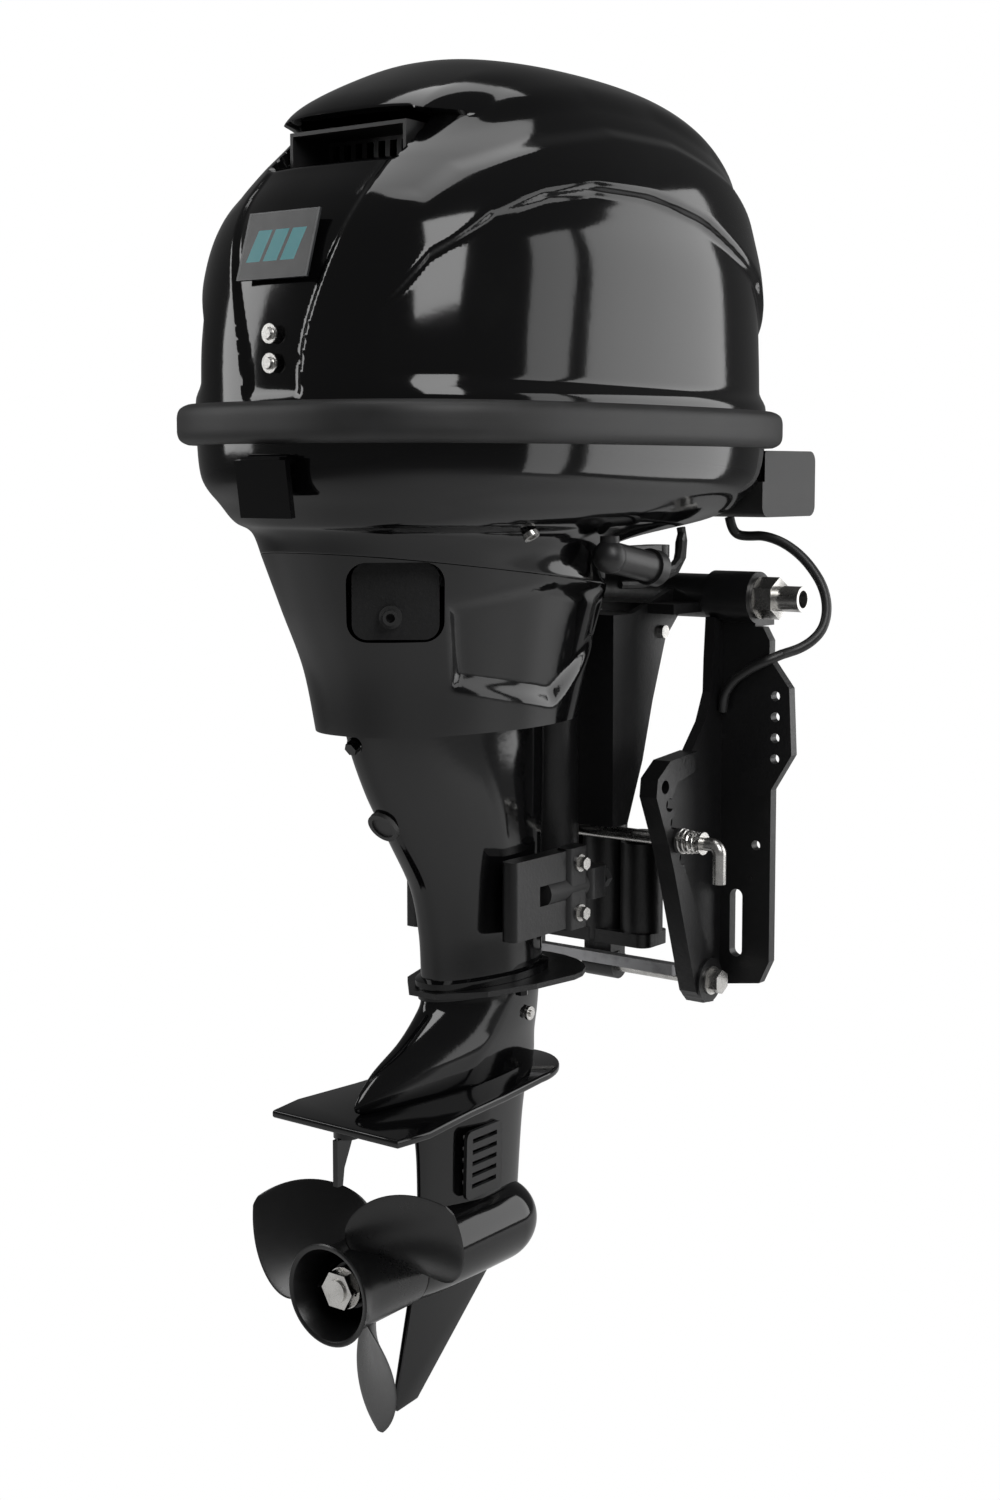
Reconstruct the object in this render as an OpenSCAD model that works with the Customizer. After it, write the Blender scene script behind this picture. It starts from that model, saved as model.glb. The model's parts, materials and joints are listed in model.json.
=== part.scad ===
// Outboard motor with power tilt, short shaft and three-bladed propeller.
// Origin: middle of the upper transom bolt pattern, on the transom face.
// +Y points into the boat, +X to starboard, +Z up.

/* [Transom bracket] */
// Distance between the two columns of upper transom bolt holes
bolt_span = 327; // [322:1:330]
// Pitch of the four upper bolt holes in each column
bolt_pitch = 19; // [16:0.5:21]
// Diameter of a transom bolt hole
bolt_hole_d = 9; // [7:0.5:11]
// Distance between the two lower slots
slot_span = 250; // [244:1:256]
// Width of a lower slot
slot_w = 13; // [9:0.5:15]
// Length of a lower slot, upright
slot_len = 63; // [40:1:70]
// Distance between the inner faces of the two clamp brackets
bracket_gap = 196; // [192:1:204]
// Thickness of the bracket web and of its transom flange
bracket_t = 10; // [7:0.5:12]
// Height of the tilt axis over the upper bolt holes
tilt_z = 116; // [112:1:122]
// Outer diameter of the tilt tube
tilt_tube_d = 23; // [21:0.5:25]
// Bore of the tilt tube, which the steering cable passes through
tilt_bore_d = 16; // [14:0.5:18]
// Overall length of the tilt tube
tilt_tube_len = 374; // [364:2:384]

/* [Swivel and steering] */
// Distance of the steering axis behind the transom face
steer_back = 130; // [129:1:131]
// Diameter of the steering shaft
steer_shaft_d = 30; // [26:1:32]
// Outer diameter of the swivel tube
swivel_tube_d = 54; // [50:1:56]
// Radial running fit of every shaft in its bush
running_fit = 0.05; // [0.02:0.01:0.1]
// Reach of the steering arm ahead of the steering axis
arm_reach = 185; // [170:5:195]
// Hole in the steering arm for the drag link
arm_hole_d = 9.5; // [8:0.5:11]

/* [Cowling] */
// Length of the rub rail round the cowling
rail_len = 583; // [575:1:595]
// Width of the rub rail round the cowling
rail_w = 376; // [370:1:384]
// Height of the rub rail band
rail_h = 32; // [26:1:36]
// Height of the cowling top over the middle of the rail
cowl_h = 298; // [290:2:310]
// Wall of the moulded covers
cover_t = 3.5; // [2.5:0.5:4.5]
// Depth of the lower cowling below the rail
pan_h = 62; // [56:1:66]

/* [Midsection and gearcase] */
// Distance of the drive shaft behind the transom face
drive_back = 225; // [222:1:228]
// Diameter of the drive shaft
drive_shaft_d = 15; // [13:0.5:17]
// Height of the anti-ventilation plate below the upper bolt holes
plate_drop = 296; // [290:1:302]
// Thickness of the anti-ventilation plate
plate_t = 7; // [5:0.5:8]
// Height of the propeller axis below the anti-ventilation plate
prop_drop = 135; // [133:1:142]
// Outer diameter of the gear housing
torpedo_d = 74; // [72:1:78]
// Wall of the midsection and gearcase castings
casting_t = 5; // [4:0.5:6]
// Depth of the skeg below the propeller axis
skeg_drop = 128; // [118:1:136]

/* [Propeller] */
// Diameter of the propeller
prop_d = 251; // [240:1:262]
// Pitch of the propeller
prop_pitch = 292; // [230:2:330]
// Number of blades
blades = 3; // [3:1:4]
// Outer diameter of the hub where the blades stand
hub_d = 70; // [66:1:74]
// Outer diameter of the flared hub rim
hub_rim_d = 84; // [78:1:88]
// Diameter of the propeller shaft
prop_shaft_d = 19; // [17:0.5:21]

/* [Hidden] */
$fn = 48;

paint = [0.06, 0.06, 0.065];
casting = [0.10, 0.10, 0.11];
rubber = [0.04, 0.04, 0.04];
steel = [0.72, 0.72, 0.70];
alloy = [0.55, 0.56, 0.58];
brass = [0.70, 0.58, 0.30];
gap = 0.3;
eps = 0.01;

// Bracket
web_in = bracket_gap / 2;
web_out = web_in + bracket_t;
tilt_y = -4;
tilt_boss_r = tilt_tube_d / 2 + 12;
tilt_boss_out = web_in + 44;
upper_holes = [-1.5, -0.5, 0.5, 1.5];
slot_z = -183;
tie_y = -40;
tie_z = -232;
tie_d = 12;
trim_hole_d = 12;
trim_first = [-114, -46];
trim_step = [7.5, -16.8];
trim_used = 3;
trim_at = trim_first + trim_used * trim_step;
rib_in = web_in - 2;
rib_out = web_out + 6;

// Swivel and power tilt
steer_y = -steer_back;
swivel_top = 94;
swivel_bottom = -116;
wing_x = 56;
wing_t = 7;
wing_aft = -121;
rod_y = -42;
rod_z = tilt_z - 32;
rod_d = 14;
rod_pin_d = 12;
rod_slot = 6;
rod_play = 2.3;
ram_top = 38;
ram_bottom = -206;
ram_d = 42;
arm_z = tilt_z + tilt_boss_r + 8;
arm_t = 12;
yoke_top = 124;
yoke_aft = -157;
mount_x = 52;
mount_z = -132;

// Cowling
rail_mid_y = 82 - rail_len / 2;
rail_z = 266;
rail_top = rail_z + rail_h / 2;
rail_bottom = rail_z - rail_h / 2;
rim_in = 14;
cowl_half = rail_w / 2 - rim_in;
cowl_aft = rail_mid_y - rail_len / 2 + rim_in;
cowl_fwd = rail_mid_y + rail_len / 2 - rim_in;
cowl_top = rail_z + cowl_h;
pan_bottom = rail_bottom - pan_h;
intake_w = 120;
intake_h = 34;
intake_z = 462;
intake_aft = -400;
seam_z = 147;
seam_slope = -0.118;
apron_bottom = 20;
shell_seg = 40;

// Midsection and gearcase
drive_y = -drive_back;
plate_z = -plate_drop;
prop_z = plate_z - prop_drop;
joint_z = -206;
splash_t = 5;
mid_top = 138;
gear_bore_r = torpedo_d / 2 - casting_t;
torpedo_aft = -344;
torpedo_nose = -171;
skeg_z = prop_z - skeg_drop;
pinion_z = prop_z + 21;
gear_r = 26;
gear_clear = 0.6;
gear_teeth = 27;
pinion_teeth = 13;

// Propeller
hub_fwd = torpedo_aft - 3;
hub_aft = -434;
blade_y = -384;
blade_seg = 16;
blade_sections = 9;
prop_turn = 50;

// Cable routes, from one held end to the other, with the cable's diameter
tilt_cable_d = 9;
tilt_cable_route = [[97, 18, 187.5], [98, 20, 178], [102, 24, 171], [112, 28, 170],
    [126, 31, 171], [144, 35, 165], [160, 38, 154], [172, 40, 141], [182, 40, 127],
    [188, 38, 112], [190, 34, 98], [189, 27, 86], [184, 18, 77], [177, 10, 71], [171, 2, 68],
    [167, -6, 66], [161, -16, 62], [151, -20, 57], [140, -21, 51], [128, -21, 43],
    [119, -20, 33], [114, -18, 23], [113, -17, 12]];
hose_d = 8;
hose_route = [[134, -162.7, 147.8], [134, -150, 146], [132, -134, 147], [127, -118, 152],
    [120, -104, 160], [114, -94, 168], [112, -88, 174]];
return_route = [[100, -70, 180], [101, -68, 168], [100, -68, 154], [96, -72, 142],
    [86, -82, 134], [74, -94, 130], [66, -104, 130], [63.6, -112, 130]];

function signed_power(v, p) = sign(v) * pow(abs(v), p);

// Egg-shaped outline at a height: aft end, forward end, half width, how much narrower
// the aft end is, squareness, and slope of the ring along Y
function egg(z, aft, fwd, half, taper = 0, n = 2.6, slope = 0, seg = shell_seg) =
    [for (i = [0:seg - 1])
        let (a = 360 * i / seg,
            c = signed_power(cos(a), 2 / n),
            s = signed_power(sin(a), 2 / n),
            y = (aft + fwd) / 2 + (fwd - aft) / 2 * c)
        [half * s * (1 - taper * max(0, -c)), y, z + slope * (y - (aft + fwd) / 2)]];

// Closed skin over a list of rings with as many points each
module skin(rings) {
    n = len(rings[0]);
    m = len(rings);
    sides = [for (j = [0:m - 2], i = [0:n - 1])
        let (a = j * n + i, b = j * n + (i + 1) % n)
        each [[a, b, b + n], [a, b + n, a + n]]];
    first = [for (i = [n - 1:-1:0]) i];
    last = [for (i = [0:n - 1]) (m - 1) * n + i];
    polyhedron([for (r = rings) each r], concat(sides, [first], [last]));
}

function reverse(list) = [for (i = [len(list) - 1:-1:0]) list[i]];

// Sweep of a round section along a route
function unit(v) = v / norm(v);
function side_of(t) = unit(cross(t, abs(t[2]) < 0.9 ? [0, 0, 1] : [1, 0, 0]));
function tangent(p, i) = unit(p[min(i + 1, len(p) - 1)] - p[max(i - 1, 0)]);
function carried(p, i) = i == 0 ? side_of(tangent(p, 0)) :
    let (t = tangent(p, i), s = carried(p, i - 1)) unit(s - (s * t) * t);
module cable(route, d, sides = 8) {
    skin([for (i = [0:len(route) - 1])
        let (t = tangent(route, i), s = carried(route, i), u = cross(t, s))
        [for (k = [0:sides - 1])
            route[i] + d / 2 * (cos(360 * k / sides) * u + sin(360 * k / sides) * s)]]);
}

module along_x() rotate([0, 90, 0]) children();
module along_y() rotate([-90, 0, 0]) children();
module plate_yz(x, t) translate([x, 0, 0]) rotate([90, 0, 90]) linear_extrude(t) children();
module both_sides() for (s = [0, 1]) mirror([s, 0, 0]) children();
module hex(af, h) cylinder(d = af / cos(30), h = h, $fn = 6);

// Rounded box with its rounded edges along Z
module pad(size, r) {
    linear_extrude(size[2]) rounded(size, r);
}
module rounded(size, r) {
    for (x = [r, size[0] - r], y = [r, size[1] - r]) translate([x, y]) circle(r);
    translate([r, 0]) square([size[0] - 2 * r, size[1]]);
    translate([0, r]) square([size[0], size[1] - 2 * r]);
}

// Clamp brackets, which carry everything else on the transom
module web_outline() {
    polygon([[0, tilt_z - 26], [-24, tilt_z - 18], [-27, 60], [-28, 30], [-40, 4], [-62, -20],
        [-106, -24], [-126, -38], [-128, -54], [-108, -98], [-98, -124], [-60, -240],
        [-48, tie_z - 20], [-30, tie_z - 22], [0, -244]]);
    translate([tilt_y, tilt_z]) circle(tilt_boss_r);
}
module rib_outline() {
    polygon([[-62, -20], [-106, -24], [-126, -38], [-128, -54], [-108, -98], [-98, -124],
        [-60, -240], [-48, tie_z - 20], [-30, tie_z - 22], [-24, tie_z], [-36, tie_z + 22],
        [-80, -124], [-92, -94], [-104, -60], [-94, -44], [-66, -38]]);
}
module flange_outline() {
    tab_x = bolt_span / 2 + 17;
    polygon([[web_in, tilt_z - 24], [150, tilt_z - 26], [157, 78], [157, 62], [tab_x - 3, 36],
        [tab_x, -24], [160, -57], [160, -215], [150, -236], [web_in, -244]]);
}
module clamp_bracket() {
    color(paint) difference() {
        union() {
            plate_yz(web_in, bracket_t) web_outline();
            plate_yz(rib_in, rib_out - rib_in) rib_outline();
            rotate([90, 0, 0]) linear_extrude(bracket_t) flange_outline();
            translate([rib_in, tilt_y, tilt_z]) along_x()
                cylinder(r = tilt_boss_r, h = tilt_boss_out - rib_in);
            translate([web_in, -bracket_t, tilt_z - 26]) cube([44, bracket_t + 24, 14]);
            translate([rib_in, tie_y, tie_z]) along_x() cylinder(r = 20, h = rib_out - rib_in + 3);
            translate([rib_in, trim_at[0], trim_at[1]]) along_x()
                cylinder(r = 11, h = rib_out - rib_in + 2);
        }
        translate([0, tilt_y, tilt_z]) along_x()
            cylinder(d = tilt_tube_d + 2 * running_fit, h = 400);
        translate([0, tie_y, tie_z]) along_x() cylinder(d = tie_d + 2 * running_fit, h = 200);
        for (i = [0:4]) translate([0, trim_first[0] + i * trim_step[0],
            trim_first[1] + i * trim_step[1]]) along_x()
            cylinder(d = trim_hole_d + 2 * running_fit, h = 200);
        for (k = upper_holes) translate([bolt_span / 2, 1, k * bolt_pitch]) rotate([90, 0, 0])
            cylinder(d = bolt_hole_d, h = bracket_t + 2);
        translate([145, 1, -109]) rotate([90, 0, 0]) cylinder(d = bolt_hole_d, h = bracket_t + 2);
        translate([140, 1, -140]) rotate([90, 0, 0]) cylinder(d = 3, h = bracket_t + 2);
        for (s = [-1, 1]) translate([slot_span / 2, 1, slot_z + s * (slot_len - slot_w) / 2])
            rotate([90, 0, 0]) cylinder(d = slot_w, h = bracket_t + 2);
        translate([slot_span / 2 - slot_w / 2, -bracket_t - 1, slot_z - (slot_len - slot_w) / 2])
            cube([slot_w, bracket_t + 2, slot_len - slot_w]);
    }
}
module clamp_bracket_starboard() clamp_bracket();
module clamp_bracket_port() mirror([1, 0, 0]) clamp_bracket();

module tilt_tube() {
    color(steel) translate([-tilt_tube_len / 2, tilt_y, tilt_z]) along_x() difference() {
        cylinder(d = tilt_tube_d, h = tilt_tube_len);
        translate([0, 0, -1]) cylinder(d = tilt_bore_d, h = tilt_tube_len + 2);
    }
}

module tilt_tube_nuts() {
    color(steel) both_sides() translate([tilt_boss_out + 0.2, tilt_y, tilt_z]) along_x()
        difference() {
            union() {
                cylinder(d = 38, h = 3);
                translate([0, 0, 3]) hex(33, 18);
            }
            translate([0, 0, -1]) cylinder(d = tilt_tube_d + 2 * running_fit, h = 24);
        }
}

module lower_tie_bolt() {
    end = rib_out + 4;
    color(steel) translate([0, tie_y, tie_z]) along_x() {
        translate([0, 0, -end]) cylinder(d = tie_d, h = 2 * end);
        for (s = [0, 1]) mirror([0, 0, s]) translate([0, 0, rib_out + 3.2]) {
            cylinder(d = 26, h = 2);
            translate([0, 0, 2]) hex(19, 10);
        }
    }
}

module bracket_anode() {
    color(alloy) translate([-rib_in + gap, tie_y - 28, tie_z + 6]) difference() {
        pad([2 * (rib_in - gap), 10, 10], 4);
        for (x = [60, 76]) translate([x, 5, -1]) cylinder(d = 5, h = 12);
    }
}

// Power tilt ram, its pump motor and its rod
module tilt_cylinder() {
    color(paint) difference() {
        union() {
            translate([0, tie_y, ram_bottom]) cylinder(d = ram_d, h = ram_top - ram_bottom);
            translate([0, tie_y, ram_top - 12]) cylinder(d = ram_d + 4, h = 12);
            translate([-17, tie_y, tie_z]) along_x() cylinder(r = 13, h = 34);
            translate([-15, tie_y - 12, tie_z]) cube([30, 24, ram_bottom - tie_z + 1]);
        }
        translate([0, rod_y, -150]) cylinder(d = rod_d + 2 * running_fit, h = 300);
        translate([-30, tie_y, tie_z]) along_x() cylinder(d = tie_d + 2 * running_fit, h = 60);
    }
}

module tilt_pump_motor() {
    x0 = ram_d / 2 + gap;
    color(casting) {
        translate([-x0 - 24, tie_y, -196]) cylinder(r = 24 - gap, h = 118);
        translate([-x0 - 24, tie_y, -78]) cylinder(r1 = 22, r2 = 15, h = 12);
        translate([x0 + 20, tie_y, -196]) cylinder(r = 20 - gap, h = 84);
        translate([x0 + 20, tie_y, -112]) cylinder(r1 = 16, r2 = 10, h = 10);
    }
    color(casting) difference() {
        translate([-x0 - 46, tie_y - 21, -208]) pad([2 * x0 + 84, 42, 12.5], 10);
        translate([0, tie_y, -209]) cylinder(d = ram_d + 0.6, h = 15);
    }
}

module tilt_rod() {
    head_r = rod_pin_d / 2 + rod_play + 4;
    color(steel) difference() {
        union() {
            translate([0, rod_y, -140]) cylinder(d = rod_d, h = rod_z + 140 - head_r + 2);
            for (y = [-rod_slot, rod_slot]) translate([-9, rod_y + y, rod_z]) along_x()
                cylinder(r = head_r, h = 18);
            translate([-9, rod_y - rod_slot, rod_z - head_r])
                cube([18, 2 * rod_slot, 2 * head_r]);
        }
        for (y = [-rod_slot, rod_slot]) translate([-10, rod_y + y, rod_z]) along_x()
            cylinder(d = rod_pin_d + 2 * rod_play, h = 20);
        translate([-10, rod_y - rod_slot, rod_z - rod_pin_d / 2 - rod_play])
            cube([20, 2 * rod_slot, rod_pin_d + 2 * rod_play]);
    }
}

module tilt_rod_pin() {
    color(steel) translate([-wing_x - wing_t - 4, rod_y, rod_z]) along_x()
        cylinder(d = rod_pin_d, h = 2 * (wing_x + wing_t + 4));
}

// Sprung trim pin through both clamp brackets, with its bent handle
module tilt_pin() {
    d = trim_hole_d;
    bend = 8;
    x1 = rib_out + 34;
    color(steel) translate([0, trim_at[0], trim_at[1]]) {
        translate([-x1 + 20, 0, 0]) along_x() cylinder(d = d, h = 2 * x1 - 20);
        translate([x1, 0, -bend]) rotate([-90, 0, 0]) rotate([0, 0, -90])
            rotate_extrude(angle = 90) translate([bend, 0]) circle(d = d);
        translate([x1 + bend, 0, -bend - 26]) cylinder(d = d, h = 26);
        translate([rib_out + 24, 0, 0]) along_x() cylinder(d = d + 8, h = 2);
    }
}

module tilt_pin_spring() {
    turns = 4.5;
    steps = 66;
    wire = 2.2;
    len = 24 - 2.1 - wire - 0.2;
    r = trim_hole_d / 2 + 2.4;
    color(steel) translate([rib_out + 2.1 + wire / 2, trim_at[0], trim_at[1]])
        cable([for (i = [0:steps]) let (t = i / steps, a = 360 * turns * t)
            [len * t, (r + 2.6 * (1 - t)) * cos(a), (r + 2.6 * (1 - t)) * sin(a)]], wire, 6);
}

// Swivel bracket, which tilts on the tube and holds the steering shaft
module swivel_bracket() {
    bush_t = 2;
    knuckle = rib_in - 1.5;
    color(paint) difference() {
        union() {
            translate([0, steer_y, swivel_bottom]) cylinder(d = swivel_tube_d,
                h = swivel_top - swivel_bottom);
            both_sides() plate_yz(wing_x, wing_t) polygon([[tilt_y - 4, tilt_z - 12],
                [-36, 78], [-57, 22], [-73, -31], [-97, -86], [wing_aft, -86],
                [wing_aft, swivel_top], [tilt_y - 16, tilt_z + 8]]);
            translate([-wing_x - wing_t, wing_aft, -86]) cube([2 * (wing_x + wing_t), 7,
                swivel_top + 86]);
            for (z = [-50, 10]) translate([-wing_x - 1, wing_aft, z])
                cube([2 * wing_x + 2, 34, 7]);
            translate([-knuckle, tilt_y, tilt_z]) along_x() cylinder(r = 20, h = 2 * knuckle);
            translate([-knuckle + 4, tilt_y - 62, tilt_z - 14]) cube([2 * knuckle - 8, 50, 9]);
            translate([-wing_x - wing_t, wing_aft, swivel_top - 8])
                cube([2 * (wing_x + wing_t), tilt_y - 50 - wing_aft, 17]);
        }
        translate([-200, tilt_y, tilt_z]) along_x()
            cylinder(d = tilt_tube_d + 2 * bush_t + 2 * running_fit, h = 400);
        translate([0, steer_y, swivel_bottom - 1])
            cylinder(d = steer_shaft_d + 2 * bush_t + 2 * running_fit, h = 300);
        translate([-100, rod_y, rod_z]) along_x()
            cylinder(d = rod_pin_d + 2 * running_fit, h = 200);
        translate([-13, rod_y - 24, rod_z - 16]) cube([26, 60, 36.5]);
    }
}

module tilt_bushes() {
    color(brass) both_sides() translate([rib_in - 31.5, tilt_y, tilt_z]) along_x() difference() {
        cylinder(d = tilt_tube_d + 4, h = 30);
        translate([0, 0, -1]) cylinder(d = tilt_tube_d + 2 * running_fit, h = 34);
    }
}

module steering_bushes() {
    color(brass) for (z = [swivel_bottom + 1, swivel_top - 41]) translate([0, steer_y, z])
        difference() {
            cylinder(d = steer_shaft_d + 4, h = 40);
            translate([0, 0, -1]) cylinder(d = steer_shaft_d + 2 * running_fit, h = 42);
        }
}

// Steering shaft with its upper yoke, steering arm and lower yoke
module steering_shaft() {
    color(casting) difference() {
        union() {
            translate([0, steer_y, mount_z - 14]) cylinder(d = steer_shaft_d,
                h = arm_z + arm_t - mount_z + 14);
            translate([-24, steer_y - 24, swivel_top + 16.5]) pad([48, 48, arm_z - swivel_top - 10],
                10);
            translate([-mount_x - 8, yoke_aft, yoke_top - 12])
                pad([2 * mount_x + 16, steer_y - yoke_aft, 16], 8);
            translate([-16, steer_y - 16, arm_z]) pad([32, 32, arm_t], 10);
            translate([-11, steer_y, arm_z]) cube([22, arm_reach - 11, arm_t]);
            translate([0, steer_y + arm_reach - 11, arm_z]) cylinder(r = 13, h = arm_t);
            translate([0, steer_y, mount_z - 14]) cylinder(r = 25, h = 28 - gap);
            translate([-mount_x - 11, yoke_aft + 1, mount_z - 14])
                pad([2 * mount_x + 22, 30, 28 - gap], 8);
        }
        translate([0, steer_y + arm_reach - 11, arm_z - 1])
            cylinder(d = arm_hole_d, h = arm_t + 2);
        both_sides() translate([mount_x, yoke_aft, mount_z]) along_y()
            cylinder(d = 10.1, h = 40);
    }
}

module upper_mounts() {
    color(rubber) both_sides() translate([mount_x - 6, -216, yoke_top - 4]) along_y()
        cylinder(r = 11.7, h = 216 + yoke_aft - gap);
}

module lower_mounts() {
    aft = -214;
    nut_y = yoke_aft + 31 + gap;
    color(rubber) both_sides() translate([mount_x, aft, mount_z]) along_y() difference() {
        cylinder(r = 11.5, h = yoke_aft - aft);
        translate([0, 0, -1]) cylinder(d = 10.1, h = 80);
    }
    color(steel) both_sides() translate([mount_x, aft, mount_z]) along_y() {
        cylinder(d = 10, h = nut_y - aft + 12);
        translate([0, 0, nut_y - aft]) hex(16, 8);
    }
}

// Boxed covers over the lower mounts
module lower_mount_covers() {
    color(paint) both_sides() difference() {
        union() {
            translate([44.5, -262, -166]) pad([15.5, 100, 68], 5);
            translate([48, -188, -168]) pad([15.5, 30, 72], 6);
        }
        translate([mount_x, -226, mount_z]) along_y() cylinder(r = 11.8, h = 100);
    }
}

module mount_cover_bolts() {
    color(steel) both_sides() for (z = [-110, -154]) translate([63.6, -172, z]) along_x() {
        cylinder(d = 15, h = 1.6);
        translate([0, 0, 1.6]) hex(10, 6);
    }
}

// Midsection, a hollow casting from the powerhead down to the gearcase
mid_rings = [[mid_top, -396, -158, 84, 0.10], [mid_top - 14, -396, -158, 84, 0.10],
    [mid_top - 18, -392, -164, 66, 0.2], [60, -396, -164, 52, 0.42], [20, -398, -165, 47, 0.48],
    [-31, -376, -165, 44, 0.50], [-76, -346, -165, 41, 0.50], [-119, -318, -165, 38, 0.45],
    [-160, -306, -165, 36, 0.40], [joint_z + 8, -302, -165, 36, 0.36],
    [joint_z + 6, -308, -159, 41, 0.36], [joint_z, -308, -159, 41, 0.36]];
function mid_skin(inset, drop) = [for (r = reverse(mid_rings))
    egg(r[0] + (r[0] == mid_top || r[0] == joint_z ? drop * sign(r[0]) : 0), r[1] + inset,
        r[2] - inset, r[3] - inset, r[4], 2.8, 0, 36)];
module midsection() {
    color(paint) difference() {
        skin(mid_skin(0, 0));
        skin(mid_skin(casting_t + 4, 2));
        both_sides() translate([mount_x - 6, -230, yoke_top - 4]) along_y()
            cylinder(r = 12, h = 90);
    }
}

module midsection_bolts() {
    color(steel) {
        translate([0, -395.1, 11.1]) rotate([117, 0, 0]) {
            cylinder(d = 14, h = 1.6);
            translate([0, 0, 1.6]) hex(10, 5);
        }
        both_sides() translate([48, -236, joint_z - splash_t - gap]) mirror([0, 0, 1])
            hex(10, 5);
    }
}

module access_plug() {
    color(rubber) translate([0, -358.6, -58.4]) rotate([123.7, 0, 0]) difference() {
        cylinder(r = 14, h = 4);
        translate([0, 0, 2.5]) cylinder(r = 10, h = 4);
    }
}

module exhaust_tube() {
    color(alloy) translate([0, -263, -180]) difference() {
        cylinder(r = 15, h = mid_top + 180);
        translate([0, 0, -1]) cylinder(r = 12.5, h = 400);
    }
}

// Apron, the shroud round the top of the midsection, open towards the bracket
function apron_rings(inset) = [
    egg(apron_bottom, -410 + inset, -150 - inset, 86 - inset, 0.22, 2.6),
    egg(65, -420 + inset, -142 - inset, 94 - inset, 0.2, 2.6, seam_slope * 0.4),
    egg(107, -440 + inset, -134 - inset, 103 - inset, 0.18, 2.6, seam_slope * 0.7),
    egg(seam_z - gap, -458 + inset, -128 - inset, 113 - inset, 0.16, 2.6, seam_slope)];
module apron() {
    color(paint) difference() {
        skin(apron_rings(0));
        translate([0, 0, -0.5]) skin(concat([egg(apron_bottom - 2, -410 + cover_t,
            -150 - cover_t, 86 - cover_t, 0.22, 2.6)], apron_rings(cover_t),
            [egg(seam_z + 4, -458 + cover_t, -128 - cover_t, 113 - cover_t, 0.16, 2.6,
            seam_slope)]));
        translate([-80, -180.5, 0]) rotate([-14, 0, 0]) translate([0, 0, -30])
            cube([160, 100, 240]);
        window_place() translate([-25, -38, -30]) pad([63, 76, 60], 16);
    }
}
module window_place() {
    translate([64, -420, 135]) rotate([0, 0, -50]) along_x() children();
}

module window_plate() {
    color(casting) window_place() translate([-24, -34, -20.4]) pad([60, 68, 3], 12);
}

module flush_nozzle() {
    color(rubber) window_place() translate([18, -4, gap - 17.4]) difference() {
            union() {
                cylinder(r = 9, h = 6);
                cylinder(r = 6, h = 16);
            }
            translate([0, 0, 8]) cylinder(r = 3.5, h = 11);
        }
}

// Lower cowling, a pan whose neck runs down to the apron
function pan_rings(inset) = [
    egg(seam_z, -458 + inset, -128 - inset, 113 - inset, 0.16, 2.6, seam_slope),
    egg(173, -462 + inset, -124 - inset, 120 - inset, 0.14, 2.6, seam_slope * 0.4),
    egg(pan_bottom, -468 + inset, 10 - inset, 144 - inset, 0.1, 2.8),
    egg(pan_bottom + 14, -475 + inset, 45 - inset, 158 - inset, 0.08, 2.9),
    egg(pan_bottom + 36, -485 + inset, cowl_fwd - 5 - inset, cowl_half - 4 - inset, 0.05, 3),
    egg(rail_bottom + 12, cowl_aft + inset, cowl_fwd - inset, cowl_half - inset, 0.04, 3)];
module lower_cowl() {
    color(paint) difference() {
        skin(pan_rings(0));
        skin(concat([egg(seam_z - 3, -458 + cover_t, -150, 113 - cover_t, 0.16, 2.6,
            seam_slope)], [for (i = [1:5]) pan_rings(cover_t)[i]],
            [egg(rail_bottom + 14, cowl_aft + cover_t, cowl_fwd - cover_t, cowl_half - cover_t,
            0.04, 3)]));
        translate([-mount_x - 12, yoke_aft - 4, 100]) cube([2 * mount_x + 24, 60, 68]);
    }
}

module lower_cowl_screws() {
    color(steel) both_sides() translate([125.4, -330, 181]) rotate([0, 145, 0]) difference() {
        cylinder(d = 13, h = 4);
        translate([0, 0, 1.5]) hex(6, 4);
    }
}

// Rubber rub rail, which also seals the two cowlings
module rub_rail() {
    h = rail_h;
    color(rubber) difference() {
        skin([for (k = [[0, -6], [0.14, -1.5], [0.32, 0], [0.68, 0], [0.86, -1.5], [1, -6]])
            egg(rail_bottom + k[0] * h, cowl_aft - rim_in - k[1], cowl_fwd + rim_in + k[1],
                rail_w / 2 + k[1], 0.04, 3)]);
        skin([for (z = [rail_bottom - 1, rail_top + 1])
            egg(z, cowl_aft - gap, cowl_fwd + gap, cowl_half + gap, 0.04, 3)]);
    }
}

module cable_box() {
    color(rubber) difference() {
        translate([68, 0, 188]) rotate([90, 0, 90]) linear_extrude(74) rounded([97, 60], 10);
        skin([for (r = [2:4]) pan_rings(-gap)[r]]);
        skin([for (z = [rail_bottom - 30, rail_bottom + 20])
            egg(z, cowl_aft - gap, cowl_fwd + gap, cowl_half + gap, 0.04, 3)]);
        translate([105, 67, 218]) along_y() cylinder(r = 13, h = 60);
    }
}

// Aft latch lever under the rail
module cowl_latch() {
    color(paint) {
        translate([-26, cowl_aft - 10.5, rail_bottom - 12]) rotate([8, 0, 0])
            translate([0, -4, -44]) cube([52, 5, 44]);
        translate([-20, cowl_aft - 3, rail_bottom - 12]) along_x() cylinder(r = 4, h = 40);
        translate([-20, cowl_aft - 14, rail_bottom - 15]) cube([40, 11, 5]);
    }
}

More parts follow.
